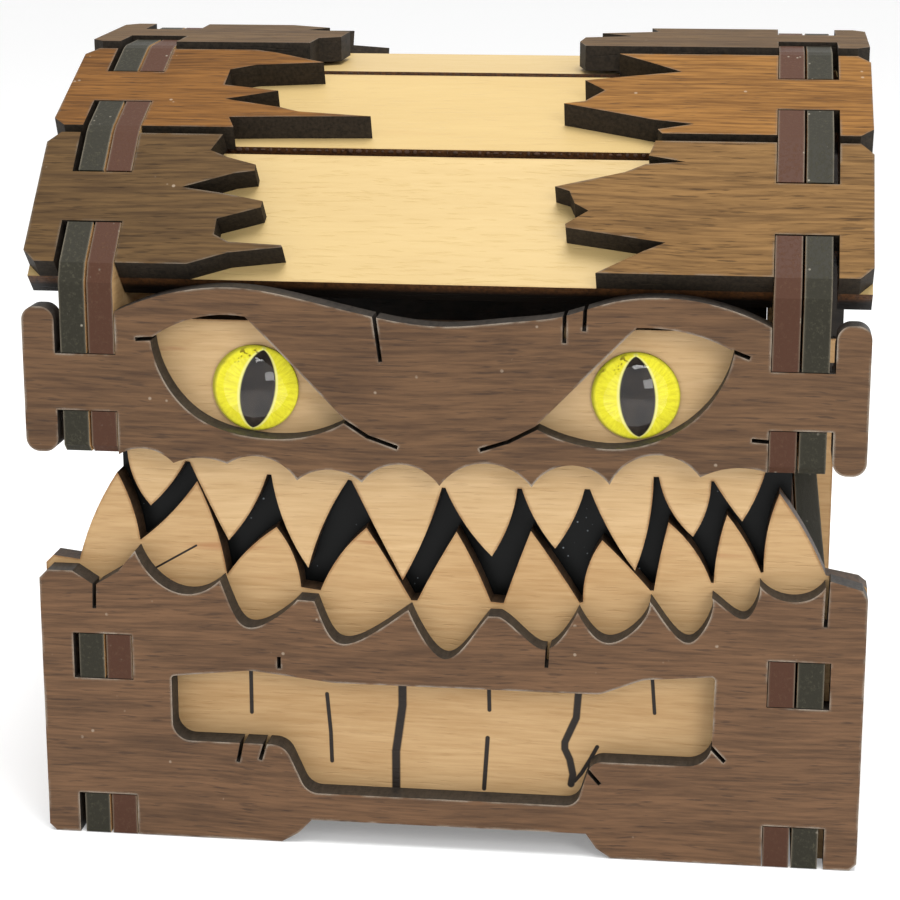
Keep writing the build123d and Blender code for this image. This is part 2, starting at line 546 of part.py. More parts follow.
def hinge_leaf(name, centre, up, knuckles):
    """Leaf against the back with its knuckles round the pivot."""
    screw_z = HINGE_Z + up * SCREW_OFFSET
    with BuildPart() as leaf:
        with BuildSketch(front_plane(BACK + LEAF_SHEET + FIT, 0)):
            with Locations((centre, HINGE_Z + up * (KNUCKLE_RADIUS + LEAF_HEIGHT) / 2)):
                Rectangle(LEAF_WIDTH, KNUCKLE_RADIUS + LEAF_HEIGHT)
        extrude(amount=LEAF_SHEET)
        with BuildSketch(Plane(origin=(0, 0, HINGE_Z))):        # room for the other leaf's knuckles
            for place in range(3):
                if place not in knuckles:
                    with Locations((centre + (place - 1) * (KNUCKLE + KNUCKLE_GAP), HINGE_Y)):
                        Rectangle(KNUCKLE + 2 * KNUCKLE_GAP, 2 * HINGE_OUT)
        extrude(amount=KNUCKLE_RADIUS + KNUCKLE_GAP, both=True, mode=Mode.SUBTRACT)
        for place in knuckles:
            middle = centre + (place - 1) * (KNUCKLE + KNUCKLE_GAP)
            with BuildSketch(side_plane(middle)):
                with Locations((HINGE_Y, HINGE_Z)):
                    Circle(KNUCKLE_RADIUS)
            extrude(amount=KNUCKLE / 2, both=True)
        with BuildSketch(side_plane(centre)):
            with Locations((HINGE_Y, HINGE_Z)):
                Circle(PIN_RADIUS + PIN_CLEARANCE)
        extrude(amount=LEAF_WIDTH, both=True, mode=Mode.SUBTRACT)
        with BuildSketch(front_plane(BACK, 0)):
            with Locations(*[(centre + step * SCREW_SPACING / 2, screw_z) for step in (-1, 1)]):
                Circle(SCREW_HEAD_RADIUS + PIN_CLEARANCE)
        extrude(amount=-2 * LEAF_SHEET, mode=Mode.SUBTRACT)
    finish(leaf, name)


for hand, sign in (("left", -1), ("right", 1)):
    hinge_leaf(f"base_hinge_leaf_{hand}", sign * HINGE_X, -1, (0, 2))
    hinge_leaf(f"lid_hinge_leaf_{hand}", sign * HINGE_X, 1, (1,))
    with BuildPart() as pin:
        with BuildSketch(side_plane(sign * HINGE_X)):
            with Locations((HINGE_Y, HINGE_Z)):
                Circle(PIN_RADIUS)
        extrude(amount=LEAF_WIDTH / 2, both=True)
    finish(pin, f"hinge_pin_{hand}")

for body, screw_z in (("base", base_screw_z), ("lid", lid_screw_z)):
    with BuildPart() as screws:
        with Locations(*[Plane(origin=(x, BACK + LEAF_SHEET + FIT, screw_z), x_dir=(1, 0, 0), z_dir=(0, 1, 0))
                         for x in SCREW_PLACES]):
            Cylinder(SCREW_RADIUS, SCREW_LENGTH, align=(Align.CENTER, Align.CENTER, Align.MAX))
            Cylinder(SCREW_HEAD_RADIUS, LEAF_SHEET, align=(Align.CENTER, Align.CENTER, Align.MAX))
    finish(screws, f"{body}_hinge_screws")
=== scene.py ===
"""Looks of the dice chest: procedural wood, char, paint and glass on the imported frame.

The CAD nodes keep their shape. Every node gets a node-based material, and thin burnt
lines, resin flecks and pupils are drawn by the shaders in object coordinates (metres).
The glass domes and the cutter's burn marks are pieces of their own.
"""

import json
import logging
import math
from dataclasses import dataclass, field
from enum import Enum
from typing import Iterable, Sequence

import bpy
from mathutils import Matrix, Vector

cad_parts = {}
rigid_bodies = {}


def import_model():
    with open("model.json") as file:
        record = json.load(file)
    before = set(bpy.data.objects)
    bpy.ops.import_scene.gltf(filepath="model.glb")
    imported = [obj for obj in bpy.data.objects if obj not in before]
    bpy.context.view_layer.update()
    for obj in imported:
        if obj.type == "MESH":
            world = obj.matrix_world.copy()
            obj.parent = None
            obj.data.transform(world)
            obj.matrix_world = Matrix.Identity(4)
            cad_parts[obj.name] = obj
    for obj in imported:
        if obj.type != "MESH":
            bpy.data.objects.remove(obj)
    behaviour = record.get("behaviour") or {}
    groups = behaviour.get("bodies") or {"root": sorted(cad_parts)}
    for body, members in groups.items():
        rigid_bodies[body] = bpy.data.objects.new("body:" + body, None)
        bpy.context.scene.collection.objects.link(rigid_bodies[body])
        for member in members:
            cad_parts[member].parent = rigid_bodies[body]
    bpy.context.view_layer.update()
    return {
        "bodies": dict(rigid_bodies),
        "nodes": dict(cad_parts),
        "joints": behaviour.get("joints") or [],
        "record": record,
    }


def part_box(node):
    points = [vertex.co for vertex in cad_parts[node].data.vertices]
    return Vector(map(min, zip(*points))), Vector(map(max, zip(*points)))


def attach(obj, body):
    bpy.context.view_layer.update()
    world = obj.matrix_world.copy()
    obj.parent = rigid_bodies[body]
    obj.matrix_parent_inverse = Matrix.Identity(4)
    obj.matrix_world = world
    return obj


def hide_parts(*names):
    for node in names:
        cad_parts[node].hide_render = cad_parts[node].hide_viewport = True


log = logging.getLogger("dice_chest")

MM = 0.001
Colour = tuple[float, float, float, float]
BLACK: Colour = (0.0, 0.0, 0.0, 1.0)
WHITE: Colour = (1.0, 1.0, 1.0, 1.0)


class Socket(Enum):
    """Socket types of a node group's interface."""

    FLOAT = "NodeSocketFloat"
    VECTOR = "NodeSocketVector"
    COLOUR = "NodeSocketColor"


def srgb(red: int, green: int, blue: int) -> Colour:
    """Turns a display colour into linear light.

    Args:
        red: Red from 0 to 255.
        green: Green from 0 to 255.
        blue: Blue from 0 to 255.

    Returns:
        Linear red, green and blue with full alpha.
    """

    def linear(value: int) -> float:
        """Turns one display value into linear light."""
        part = value / 255
        return part / 12.92 if part <= 0.04045 else ((part + 0.055) / 1.055) ** 2.4

    return (linear(red), linear(green), linear(blue), 1.0)


class Graph:
    """Short helper that adds and links nodes of one node tree."""

    MIX_FACTOR, MIX_FIRST, MIX_SECOND, MIX_RESULT = 0, 6, 7, 2      # sockets of a colour Mix node

    def __init__(self, tree: bpy.types.NodeTree) -> None:
        """Keeps the tree.

        Args:
            tree: Node tree of a material or a group.
        """
        self.tree = tree

    def node(self, kind: str, **values: object) -> bpy.types.Node:
        """Adds a node and sets its properties.

        Args:
            kind: Blender's node type name.
            **values: Properties of the node.

        Returns:
            The new node.
        """
        made = self.tree.nodes.new(kind)
        for name, value in values.items():
            setattr(made, name, value)
        return made

    def feed(self, socket: bpy.types.NodeSocket, value: object) -> None:
        """Links or sets a socket.

        Args:
            socket: Input socket.
            value: Output socket to link, or a plain value.
        """
        if isinstance(value, bpy.types.NodeSocket):
            self.tree.links.new(value, socket)
        elif value is not None:
            socket.default_value = value

    def math(self, operation: str, *values: object, clamp: bool = False) -> bpy.types.NodeSocket:
        """Adds a Math node.

        Args:
            operation: Math operation.
            *values: Up to three operands.
            clamp: Whether the result is kept from 0 to 1.

        Returns:
            The result socket.
        """
        made = self.node("ShaderNodeMath", operation=operation, use_clamp=clamp)
        for socket, value in zip(made.inputs, values):
            self.feed(socket, value)
        return made.outputs[0]

    def vector(self, operation: str, *values: object) -> bpy.types.NodeSocket:
        """Adds a Vector Math node.

        Args:
            operation: Vector operation.
            *values: Operands.

        Returns:
            The vector result, or the value for a dot product or a length.
        """
        made = self.node("ShaderNodeVectorMath", operation=operation)
        for socket, value in zip(made.inputs, values):
            self.feed(socket, value)
        scalar = operation in ("DOT_PRODUCT", "LENGTH", "DISTANCE")
        return made.outputs["Value" if scalar else "Vector"]

    def ramp(self, value: object, low: float, high: float) -> bpy.types.NodeSocket:
        """Smoothly maps low..high to 0..1.

        Args:
            value: Input value.
            low: Input that gives 0.
            high: Input that gives 1.

        Returns:
            The result socket.
        """
        made = self.node("ShaderNodeMapRange", interpolation_type="SMOOTHSTEP")
        self.feed(made.inputs["Value"], value)
        rising = low < high
        made.inputs["From Min"].default_value = low if rising else high
        made.inputs["From Max"].default_value = high if rising else low
        made.inputs["To Min"].default_value = 0.0 if rising else 1.0
        made.inputs["To Max"].default_value = 1.0 if rising else 0.0
        return made.outputs[0]

    def mix(self, factor: object, first: object, second: object) -> bpy.types.NodeSocket:
        """Mixes two colours.

        Args:
            factor: Share of the second colour.
            first: First colour.
            second: Second colour.

        Returns:
            The mixed colour.
        """
        made = self.node("ShaderNodeMix", data_type="RGBA")
        self.feed(made.inputs[self.MIX_FACTOR], factor)
        self.feed(made.inputs[self.MIX_FIRST], first)
        self.feed(made.inputs[self.MIX_SECOND], second)
        return made.outputs[self.MIX_RESULT]

    def noise(self, position: object, scale: float, detail: float = 4.0, rough: float = 0.55,
              distortion: float = 0.0) -> bpy.types.NodeSocket:
        """Adds a noise texture.

        Args:
            position: Texture position in metres.
            scale: Features per metre.
            detail: Octaves.
            rough: Roughness of the octaves.
            distortion: Distortion.

        Returns:
            The noise value.
        """
        made = self.node("ShaderNodeTexNoise")
        self.feed(made.inputs["Vector"], position)
        made.inputs["Scale"].default_value = scale
        made.inputs["Detail"].default_value = detail
        made.inputs["Roughness"].default_value = rough
        made.inputs["Distortion"].default_value = distortion
        return made.outputs["Fac"]

    def place(self, tree: bpy.types.NodeTree, **values: object) -> bpy.types.Node:
        """Adds a group node and sets its inputs.

        Args:
            tree: Node tree of the group.
            **values: Input name to a socket or a plain value.

        Returns:
            The group node.
        """
        made = self.node("ShaderNodeGroup", node_tree=tree)
        for name, value in values.items():
            self.feed(made.inputs[name], value)
        return made


def seen(g: Graph) -> bpy.types.NodeSocket:
    """Tells rays that show the surroundings, directly or in gloss and glass.

    Args:
        g: Graph of the floor or the world.

    Returns:
        The mask, 1 for such a ray.
    """
    path = g.node("ShaderNodeLightPath")
    shown = g.math("MAXIMUM", path.outputs["Is Camera Ray"], path.outputs["Is Transmission Ray"])
    return g.math("MAXIMUM", shown, path.outputs["Is Glossy Ray"])


def new_group(name: str, inputs: dict[str, tuple[Socket, object]],
              outputs: dict[str, Socket]) -> bpy.types.NodeTree:
    """Makes an empty shader node group.

    Args:
        name: Group name.
        inputs: Socket name to its type and default value.
        outputs: Socket name to its type.

    Returns:
        The node tree of the group.
    """
    tree = bpy.data.node_groups.new(name, "ShaderNodeTree")
    for label, (kind, value) in inputs.items():
        socket = tree.interface.new_socket(name=label, in_out="INPUT", socket_type=kind.value)
        if value is not None:
            socket.default_value = value
    for label, kind in outputs.items():
        tree.interface.new_socket(name=label, in_out="OUTPUT", socket_type=kind.value)
    return tree


class Groups:
    """Shader node groups that the materials share."""

    def __init__(self) -> None:
        """Builds all groups."""
        self.grain = self._grain()
        self.edges = self._edges()
        self.line = self._line()
        self.dust = self._dust()

    @staticmethod
    def _grain() -> bpy.types.NodeTree:
        """Wood grain along X: fibres, pores, broad figure and resin flecks.

        Returns:
            Group with outputs Fibre, Pore, Figure and Resin.
        """
        tree = new_group(
            "wood_grain",
            {"Position": (Socket.VECTOR, None), "Shift": (Socket.FLOAT, 0.0)},
            {label: Socket.FLOAT for label in ("Fibre", "Pore", "Figure", "Resin")},
        )
        g = Graph(tree)
        source = g.node("NodeGroupInput")
        target = g.node("NodeGroupOutput")
        shift = g.node("ShaderNodeCombineXYZ")
        g.feed(shift.inputs[0], source.outputs["Shift"])
        g.feed(shift.inputs[2], source.outputs["Shift"])
        moved = g.vector("ADD", source.outputs["Position"], shift.outputs[0])
        bend = g.math("MULTIPLY", g.math("SUBTRACT", g.noise(moved, 16, 2), 0.5), 0.003)
        wave = g.node("ShaderNodeCombineXYZ")
        g.feed(wave.inputs[2], bend)
        g.feed(wave.inputs[1], bend)
        bent = g.vector("ADD", moved, wave.outputs[0])
        fibres = g.vector("MULTIPLY", bent, (0.055, 1.0, 1.0))
        g.feed(target.inputs["Fibre"], g.noise(fibres, 2300, 5, 0.62))
        pores = g.vector("MULTIPLY", bent, (0.09, 1.0, 1.0))
        g.feed(target.inputs["Pore"], g.ramp(g.noise(pores, 3300, 2, 0.5), 0.58, 0.72))
        broad = g.vector("MULTIPLY", bent, (0.16, 1.0, 1.0))
        g.feed(target.inputs["Figure"], g.noise(broad, 230, 4, 0.55, 0.5))
        sparse = g.vector("MULTIPLY", bent, (0.10, 1.0, 1.0))
        g.feed(target.inputs["Resin"], g.ramp(g.noise(sparse, 420, 3, 0.5, 0.4), 0.66, 0.76))
        return tree

    @staticmethod
    def _edges() -> bpy.types.NodeTree:
        """Tells sheet faces from cut edges by the surface normal.

        Returns:
            Group with output Cut, 1 on a cut edge.
        """
        tree = new_group(
            "cut_edges",
            {"Normal": (Socket.VECTOR, None), "Face": (Socket.VECTOR, (0.0, 1.0, 0.0))},
            {"Cut": Socket.FLOAT},
        )
        g = Graph(tree)
        source = g.node("NodeGroupInput")
        target = g.node("NodeGroupOutput")
        along = g.vector("DOT_PRODUCT", source.outputs["Normal"], source.outputs["Face"])
        facing = g.math("ABSOLUTE", along)
        g.feed(target.inputs["Cut"], g.ramp(facing, 0.75, 0.60))
        return tree

    @staticmethod
    def _line() -> bpy.types.NodeTree:
        """Distance mask of one straight stroke in the XZ plane.

        Returns:
            Group with output Mask, 1 on the stroke.
        """
        tree = new_group(
            "stroke",
            {
                "Position": (Socket.VECTOR, None),
                "Start": (Socket.VECTOR, (0.0, 0.0, 0.0)),
                "End": (Socket.VECTOR, (0.0, 0.0, 0.0)),
                "Half": (Socket.FLOAT, 0.0003),
            },
            {"Mask": Socket.FLOAT},
        )
        g = Graph(tree)
        source = g.node("NodeGroupInput")
        target = g.node("NodeGroupOutput")
        flat = g.vector("MULTIPLY", source.outputs["Position"], (1.0, 0.0, 1.0))
        span = g.vector("SUBTRACT", source.outputs["End"], source.outputs["Start"])
        offset = g.vector("SUBTRACT", flat, source.outputs["Start"])
        share = g.math(
            "DIVIDE",
            g.vector("DOT_PRODUCT", offset, span),
            g.vector("DOT_PRODUCT", span, span),
            clamp=True,
        )
        scaled = g.node("ShaderNodeVectorMath", operation="SCALE")
        g.feed(scaled.inputs[0], span)
        g.feed(scaled.inputs["Scale"], share)
        distance = g.vector("DISTANCE", offset, scaled.outputs[0])
        ratio = g.math("DIVIDE", distance, source.outputs["Half"])
        g.feed(target.inputs["Mask"], g.ramp(ratio, 1.15, 0.75))
        return tree

    @staticmethod
    def _dust() -> bpy.types.NodeTree:
        """Sparse round specks.

        Returns:
            Group with output Mask, 1 on a speck.
        """
        tree = new_group(
            "dust_specks",
            {
                "Position": (Socket.VECTOR, None),
                "Scale": (Socket.FLOAT, 700.0),
                "Reach": (Socket.FLOAT, 0.10),
            },
            {"Mask": Socket.FLOAT},
        )
        g = Graph(tree)
        source = g.node("NodeGroupInput")
        target = g.node("NodeGroupOutput")
        cells = g.node("ShaderNodeTexVoronoi")
        g.feed(cells.inputs["Vector"], source.outputs["Position"])
        g.feed(cells.inputs["Scale"], source.outputs["Scale"])
        ratio = g.math("DIVIDE", cells.outputs["Distance"], source.outputs["Reach"])
        chosen = g.ramp(g.noise(source.outputs["Position"], 330, 3), 0.56, 0.64)
        g.feed(target.inputs["Mask"], g.math("MULTIPLY", g.ramp(ratio, 1.2, 0.6), chosen))
        return tree


@dataclass(frozen=True)
class Stroke:
    """A thin burnt line on a front sheet, in millimetres."""

    points: tuple[tuple[float, float], ...]
    width: float


@dataclass(frozen=True)
class WoodLook:
    """Colours and finish of one kind of plywood sheet."""

    name: str
    light: Colour
    dark: Colour
    pore: Colour
    edge: Colour
    edge_dark: Colour
    roughness: float = 0.55
    pore_strength: float = 0.5
    fibre_strength: float = 1.0
    resin: float = 0.0
    # Stain beside the cuts, laser smoke with painted shade mixed in: its strength and its colour.
    smoke_and_shade: float = 0.45
    smoke_and_shade_colour: Colour = srgb(40, 31, 24)
    # Strength of a painted highlight, a pale line along the front arris; dust specks come with it.
    arris_highlight: float = 0.0
    specular: float = 0.3
    outer: float | None = None      # outer face of a sheet whose inside is painted dark as shade, along its normal
    strokes: tuple[Stroke, ...] = field(default_factory=tuple)
    shift: float = 0.0


WALNUT = dict(
    light=srgb(115, 84, 58), dark=srgb(77, 55, 37), pore=srgb(50, 36, 27),
    edge=srgb(62, 56, 50), edge_dark=srgb(32, 30, 28), pore_strength=0.55, arris_highlight=0.9, smoke_and_shade=0.2,
    specular=0.25,
)
FACE_WALNUT = {**WALNUT, "light": srgb(109, 80, 54), "dark": srgb(72, 51, 34)}
BROWN_WALNUT = dict(
    light=srgb(122, 90, 50), dark=srgb(78, 55, 29), pore=srgb(48, 33, 20),
    edge=srgb(56, 48, 39), edge_dark=srgb(30, 27, 23), pore_strength=0.6, arris_highlight=0.35, smoke_and_shade=0.35,
    specular=0.1, roughness=0.62,
)
WARM_WALNUT = dict(
    light=srgb(148, 104, 52), dark=srgb(94, 62, 29), pore=srgb(56, 36, 20),
    edge=srgb(56, 48, 39), edge_dark=srgb(30, 27, 23), pore_strength=0.55, arris_highlight=0.3, smoke_and_shade=0.35,
    specular=0.1, roughness=0.62,
)
# Painted light and shade: a lighter copy of the brown walnut and a darker copy of the warm walnut,
# for the right and the left boards of the front rows.
LIT_BROWN_WALNUT = {**BROWN_WALNUT, "light": srgb(131, 98, 57), "dark": srgb(85, 61, 34)}
SHADED_WARM_WALNUT = {**WARM_WALNUT, "light": srgb(128, 86, 40), "dark": srgb(80, 51, 23)}
DARK_WALNUT = dict(
    light=srgb(100, 76, 46), dark=srgb(64, 47, 29), pore=srgb(40, 29, 19),
    edge=srgb(52, 45, 37), edge_dark=srgb(28, 25, 22), pore_strength=0.6, arris_highlight=0.3, smoke_and_shade=0.35,
    specular=0.1, roughness=0.62,
)
# Birch gets a strong amber-brown stain beside its cuts: laser smoke, with painted shade along the
# tooth outlines.
BIRCH = dict(
    light=srgb(205, 170, 123), dark=srgb(176, 138, 91), pore=srgb(156, 114, 70),
    edge=srgb(84, 62, 42), edge_dark=srgb(40, 31, 24), pore_strength=0.14, fibre_strength=0.6,
    resin=0.5, smoke_and_shade=0.75, smoke_and_shade_colour=srgb(134, 92, 52),
)
LIGHT_BIRCH = {**BIRCH, "light": srgb(216, 183, 137), "dark": srgb(190, 154, 106)}
PLAIN_BIRCH = dict(
    light=srgb(193, 167, 113), dark=srgb(184, 157, 104), pore=srgb(174, 142, 92),
    edge=srgb(104, 68, 38), edge_dark=srgb(44, 28, 18), pore_strength=0.08, fibre_strength=0.35,
    roughness=0.5, resin=0.10, smoke_and_shade=0.3, smoke_and_shade_colour=srgb(134, 92, 52),
)

# Burnt lines in the lower window and on one tooth: x from the base's own middle, and z.
WINDOW_STROKES = (
    Stroke(((-5.4, 20.5), (-5.4, 16.7), (-5.9, 13.0), (-6.2, 10.9), (-6.2, 5.1)), 1.05),
    Stroke(((-14.4, 17.7), (-14.0, 13.0), (-13.9, 9.3)), 0.5),
    Stroke(((-23.5, 21.5), (-23.5, 15.0)), 0.5),
    Stroke(((4.8, 20.5), (4.9, 16.6)), 0.5),
    Stroke(((4.7, 13.1), (4.3, 6.7)), 0.55),
    Stroke(((23.8, 22.0), (24.2, 17.1)), 0.45),
    Stroke(((15.4, 20.5), (15.1, 16.1), (14.3, 14.2), (13.8, 13.0), (13.8, 12.2), (14.4, 10.9),
            (14.8, 9.0), (14.6, 7.8)), 0.9),
    Stroke(((15.0, 8.2), (15.8, 9.2), (16.8, 11.0), (17.6, 12.6)), 0.5),
    Stroke(((-34.8, 32.4), (-29.7, 35.4)), 0.25),
)


class Materials:
    """Makes the materials."""

    def __init__(self, groups: Groups) -> None:
        """Keeps the shared groups.

        Args:
            groups: Shader node groups.
        """
        self.groups = groups

    @staticmethod
    def _new(name: str) -> tuple[bpy.types.Material, Graph, bpy.types.Node]:
        """Makes a material with a Principled shader.

        Args:
            name: Material name.

        Returns:
            Material, its graph and the shader node.
        """
        material = bpy.data.materials.new(name)
        material.use_nodes = True
        graph = Graph(material.node_tree)
        shader = next(n for n in material.node_tree.nodes if n.type == "BSDF_PRINCIPLED")
        return material, graph, shader

    @staticmethod
    def _object(g: Graph) -> bpy.types.NodeSocket:
        """Object coordinates.

        Args:
            g: Graph.

        Returns:
            The position in metres.
        """
        return g.node("ShaderNodeTexCoord").outputs["Object"]

    @staticmethod
    def _turned(g: Graph, raw: bpy.types.NodeSocket) -> bpy.types.NodeSocket:
        """Swaps X and Y, so that the grain of a side sheet runs along Y.

        Args:
            g: Graph.
            raw: Object coordinates.

        Returns:
            Position for the grain.
        """
        parts = g.node("ShaderNodeSeparateXYZ")
        g.feed(parts.inputs[0], raw)
        turned = g.node("ShaderNodeCombineXYZ")
        for axis, source in enumerate((1, 0, 2)):
            g.feed(turned.inputs[axis], parts.outputs[source])
        return turned.outputs[0]

    def _cut(self, g: Graph, face: Vector) -> bpy.types.NodeSocket:
        """Mask of the cut edges.

        Args:
            g: Graph.
            face: Normal of the sheet's broad faces.

        Returns:
            The mask.
        """
        normal = g.node("ShaderNodeTexCoord").outputs["Normal"]
        return g.place(self.groups.edges, Normal=normal, Face=tuple(face)).outputs["Cut"]

    @staticmethod
    def _flatness(g: Graph, face: Sequence[float], reach: float) -> bpy.types.NodeSocket:
        """Tells how flat a sheet's face is near a point: 1 away from its arrises.

        Args:
            g: Graph.
            face: Normal of the sheet's broad faces.
            reach: How far an arris is felt, in metres.

        Returns:
            The share of the rounded normal along the face's normal.
        """
        bevel = g.node("ShaderNodeBevel", samples=6)
        bevel.inputs["Radius"].default_value = reach
        return g.math("ABSOLUTE", g.vector("DOT_PRODUCT", bevel.outputs[0], tuple(face)))

    def _strokes(self, g: Graph, position: bpy.types.NodeSocket, strokes: Iterable[Stroke],
                 middle: float) -> bpy.types.NodeSocket | None:
        """Union of the stroke masks.

        Args:
            g: Graph.
            position: Object coordinates.
            strokes: Lines to draw.
            middle: X of the strokes' own middle, in metres.

        Returns:
            The mask, or None without strokes.
        """
        total = None
        for stroke in strokes:
            for start, end in zip(stroke.points, stroke.points[1:]):
                mask = g.place(
                    self.groups.line,
                    Position=position,
                    Start=(start[0] * MM + middle, 0.0, start[1] * MM),
                    End=(end[0] * MM + middle, 0.0, end[1] * MM),
                    Half=stroke.width * MM / 2,
                ).outputs["Mask"]
                total = mask if total is None else g.math("MAXIMUM", total, mask)
        return total

    def wood(self, look: WoodLook, face: Vector, middle: float = 0.0) -> bpy.types.Material:
        """Stained or pale plywood with scorched cut edges.

        Args:
            look: Colours and finish.
            face: Normal of the sheet's broad faces.
            middle: X of the strokes' own middle, in metres.

        Returns:
            The material.
        """
        material, g, shader = self._new(look.name)
        raw = self._object(g)
        grain = g.place(self.groups.grain, Position=raw, Shift=look.shift)
        colour = self._board(g, grain, look)
        # Smoke stain beside the cuts, partly laser smoke and partly painted shade, and a painted
        # highlight line right at the arris.
        flatness = self._flatness(g, face, 0.7 * MM)
        patch = g.ramp(g.noise(raw, 260, 3, 0.6), 0.38, 0.62)
        stained = g.math("MULTIPLY_ADD", patch, look.smoke_and_shade, 0.3 * look.smoke_and_shade)
        smoke_and_shade = g.math("MULTIPLY", g.ramp(flatness, 0.995, 0.85), stained)
        colour = g.mix(smoke_and_shade, colour, look.smoke_and_shade_colour)
        if look.arris_highlight:
            # Painted highlight: a pale line right at the arris.
            painted_highlight = g.math("MULTIPLY", patch, look.arris_highlight)
            painted_highlight = g.math("MULTIPLY", g.ramp(flatness, 0.90, 0.80), painted_highlight)
            colour = g.mix(painted_highlight, colour, srgb(166, 156, 141))
            dust = g.math("MULTIPLY", self._dust(g, raw, 420.0, 0.09), 0.5)
            colour = g.mix(dust, colour, srgb(176, 160, 140))
        # Scorched edge: fine burn streaks across the sheet's thickness.
        streak = g.vector("MULTIPLY", raw, (1.0, 0.25, 1.0))
        burn = g.ramp(g.noise(streak, 2400, 4, 0.7), 0.25, 0.80)
        cut = self._cut(g, face)
        edge = g.mix(burn, look.edge, look.edge_dark)
        if look.outer is not None:
            # Painted shade: the cut edge turns near-black deeper down, partly char and partly
            # painted shade, and the face that looks into the lid is painted dark as shade.
            depth = g.math("SUBTRACT", look.outer, g.vector("DOT_PRODUCT", raw, tuple(face)))
            edge = g.mix(g.ramp(depth, 0.5 * MM, 1.8 * MM), edge, srgb(20, 16, 13))
            painted_shade_inside = g.mix(patch, srgb(26, 23, 20), srgb(38, 33, 28))
            colour = g.mix(g.ramp(depth, 2.6 * MM, 2.95 * MM), colour, painted_shade_inside)
        colour = g.mix(cut, colour, edge)
        drawn = self._strokes(g, raw, look.strokes, middle)
        if drawn is not None:
            drawn = g.math("MULTIPLY", drawn, g.math("SUBTRACT", 1.0, cut))
            colour = g.mix(drawn, colour, srgb(34, 26, 20))
        g.feed(shader.inputs["Base Color"], colour)
        g.feed(shader.inputs["Roughness"], g.math(
            "MULTIPLY_ADD", grain.outputs["Fibre"], 0.18, look.roughness - 0.09))
        ridges = g.math("MULTIPLY", grain.outputs["Fibre"], 0.6)
        height = g.math("SUBTRACT", ridges, grain.outputs["Pore"])
        if drawn is not None:
            height = g.math("SUBTRACT", height, g.math("MULTIPLY", drawn, 3.0))
        self._bump(g, shader, height, 0.35, 0.12 * MM)
        shader.inputs["Specular IOR Level"].default_value = look.specular
        return material

    def _dust(self, g: Graph, position: bpy.types.NodeSocket, scale: float,
              reach: float) -> bpy.types.NodeSocket:
        """Places the dust group.

        Args:
            g: Graph.
            position: Object coordinates.
            scale: Cells per metre.
            reach: Radius of a speck in cells.

        Returns:
            The mask.
        """
        dust = g.place(self.groups.dust, Position=position, Scale=scale, Reach=reach)
        return dust.outputs["Mask"]

    @staticmethod
    def _board(g: Graph, grain: bpy.types.Node, look: WoodLook) -> bpy.types.NodeSocket:
        """Colour of a sheet's broad face.

        Args:
            g: Graph.
            grain: Grain group node.
            look: Colours.

        Returns:
            The colour.
        """
        fibre = g.math("MULTIPLY", grain.outputs["Fibre"], 0.9 * look.fibre_strength)
        blend = g.math("ADD", fibre, g.math("MULTIPLY", grain.outputs["Figure"], 0.4))
        middle = 0.45 * look.fibre_strength + 0.2
        colour = g.mix(g.ramp(blend, middle - 0.25, middle + 0.25), look.light, look.dark)
        pores = g.math("MULTIPLY", grain.outputs["Pore"], look.pore_strength)
        colour = g.mix(pores, colour, look.pore)
        if look.resin:
            flecks = g.math("MULTIPLY", grain.outputs["Resin"], look.resin)
            colour = g.mix(flecks, colour, srgb(158, 98, 58))
        return colour

    @staticmethod
    def _bump(g: Graph, shader: bpy.types.Node, height: bpy.types.NodeSocket, strength: float,
              distance: float) -> None:
        """Adds relief.

        Args:
            g: Graph.
            shader: Shader that takes the normal.
            height: Height mask.
            strength: Strength of the relief.
            distance: Depth in metres.
        """
        bump = g.node("ShaderNodeBump")
        bump.inputs["Strength"].default_value = strength
        bump.inputs["Distance"].default_value = distance
        g.feed(bump.inputs["Height"], height)
        g.feed(shader.inputs["Normal"], bump.outputs[0])

    def side(self, name: str, paint: Colour, fleck: Colour, outward: float, outer: WoodLook,
             inner: WoodLook) -> bpy.types.Material:
        """Side sheet: painted speckled edges, with a different wood on either broad face.

        Args:
            name: Material name.
            paint: Main colour of the edges.
            fleck: Colour of the pale flecks on them.
            outward: 1 for a right side, -1 for a left side.
            outer: Wood of the face that looks out.
            inner: Wood of the face that looks in.

        Returns:
            The material.
        """
        material, g, shader = self._new(name)
        raw = self._object(g)
        grain = g.place(self.groups.grain, Position=self._turned(g, raw), Shift=inner.shift)
        normal = g.node("ShaderNodeTexCoord").outputs["Normal"]
        facing = g.ramp(g.vector("DOT_PRODUCT", normal, (outward, 0.0, 0.0)), -0.2, 0.2)
        colour = g.mix(facing, self._board(g, grain, inner), self._board(g, grain, outer))
        speckle = g.ramp(g.noise(raw, 2600, 5, 0.75), 0.50, 0.74)
        cloud = g.noise(raw, 220, 3, 0.6)
        edge = g.mix(g.math("MULTIPLY", speckle, cloud), paint, fleck)
        dust = g.math("MULTIPLY", self._dust(g, raw, 900.0, 0.14), 0.6)
        edge = g.mix(dust, edge, srgb(168, 160, 144))
        # Painted highlight: the arris beside the broad faces is drawn pale.
        face = Vector((1.0, 0.0, 0.0))
        arris = g.ramp(self._flatness(g, face, 0.4 * MM), 0.15, 0.6)
        painted_highlight = g.math("MULTIPLY", arris, g.math("MULTIPLY", cloud, 0.9))
        edge = g.mix(painted_highlight, edge, srgb(140, 130, 112))
        cut = self._cut(g, face)
        colour = g.mix(cut, colour, edge)
        g.feed(shader.inputs["Base Color"], colour)
        g.feed(shader.inputs["Roughness"], g.math("MULTIPLY_ADD", speckle, 0.2, 0.55))
        self._bump(g, shader, g.math("ADD", speckle, grain.outputs["Fibre"]), 0.4, 0.10 * MM)
        shader.inputs["Specular IOR Level"].default_value = 0.15
        return material

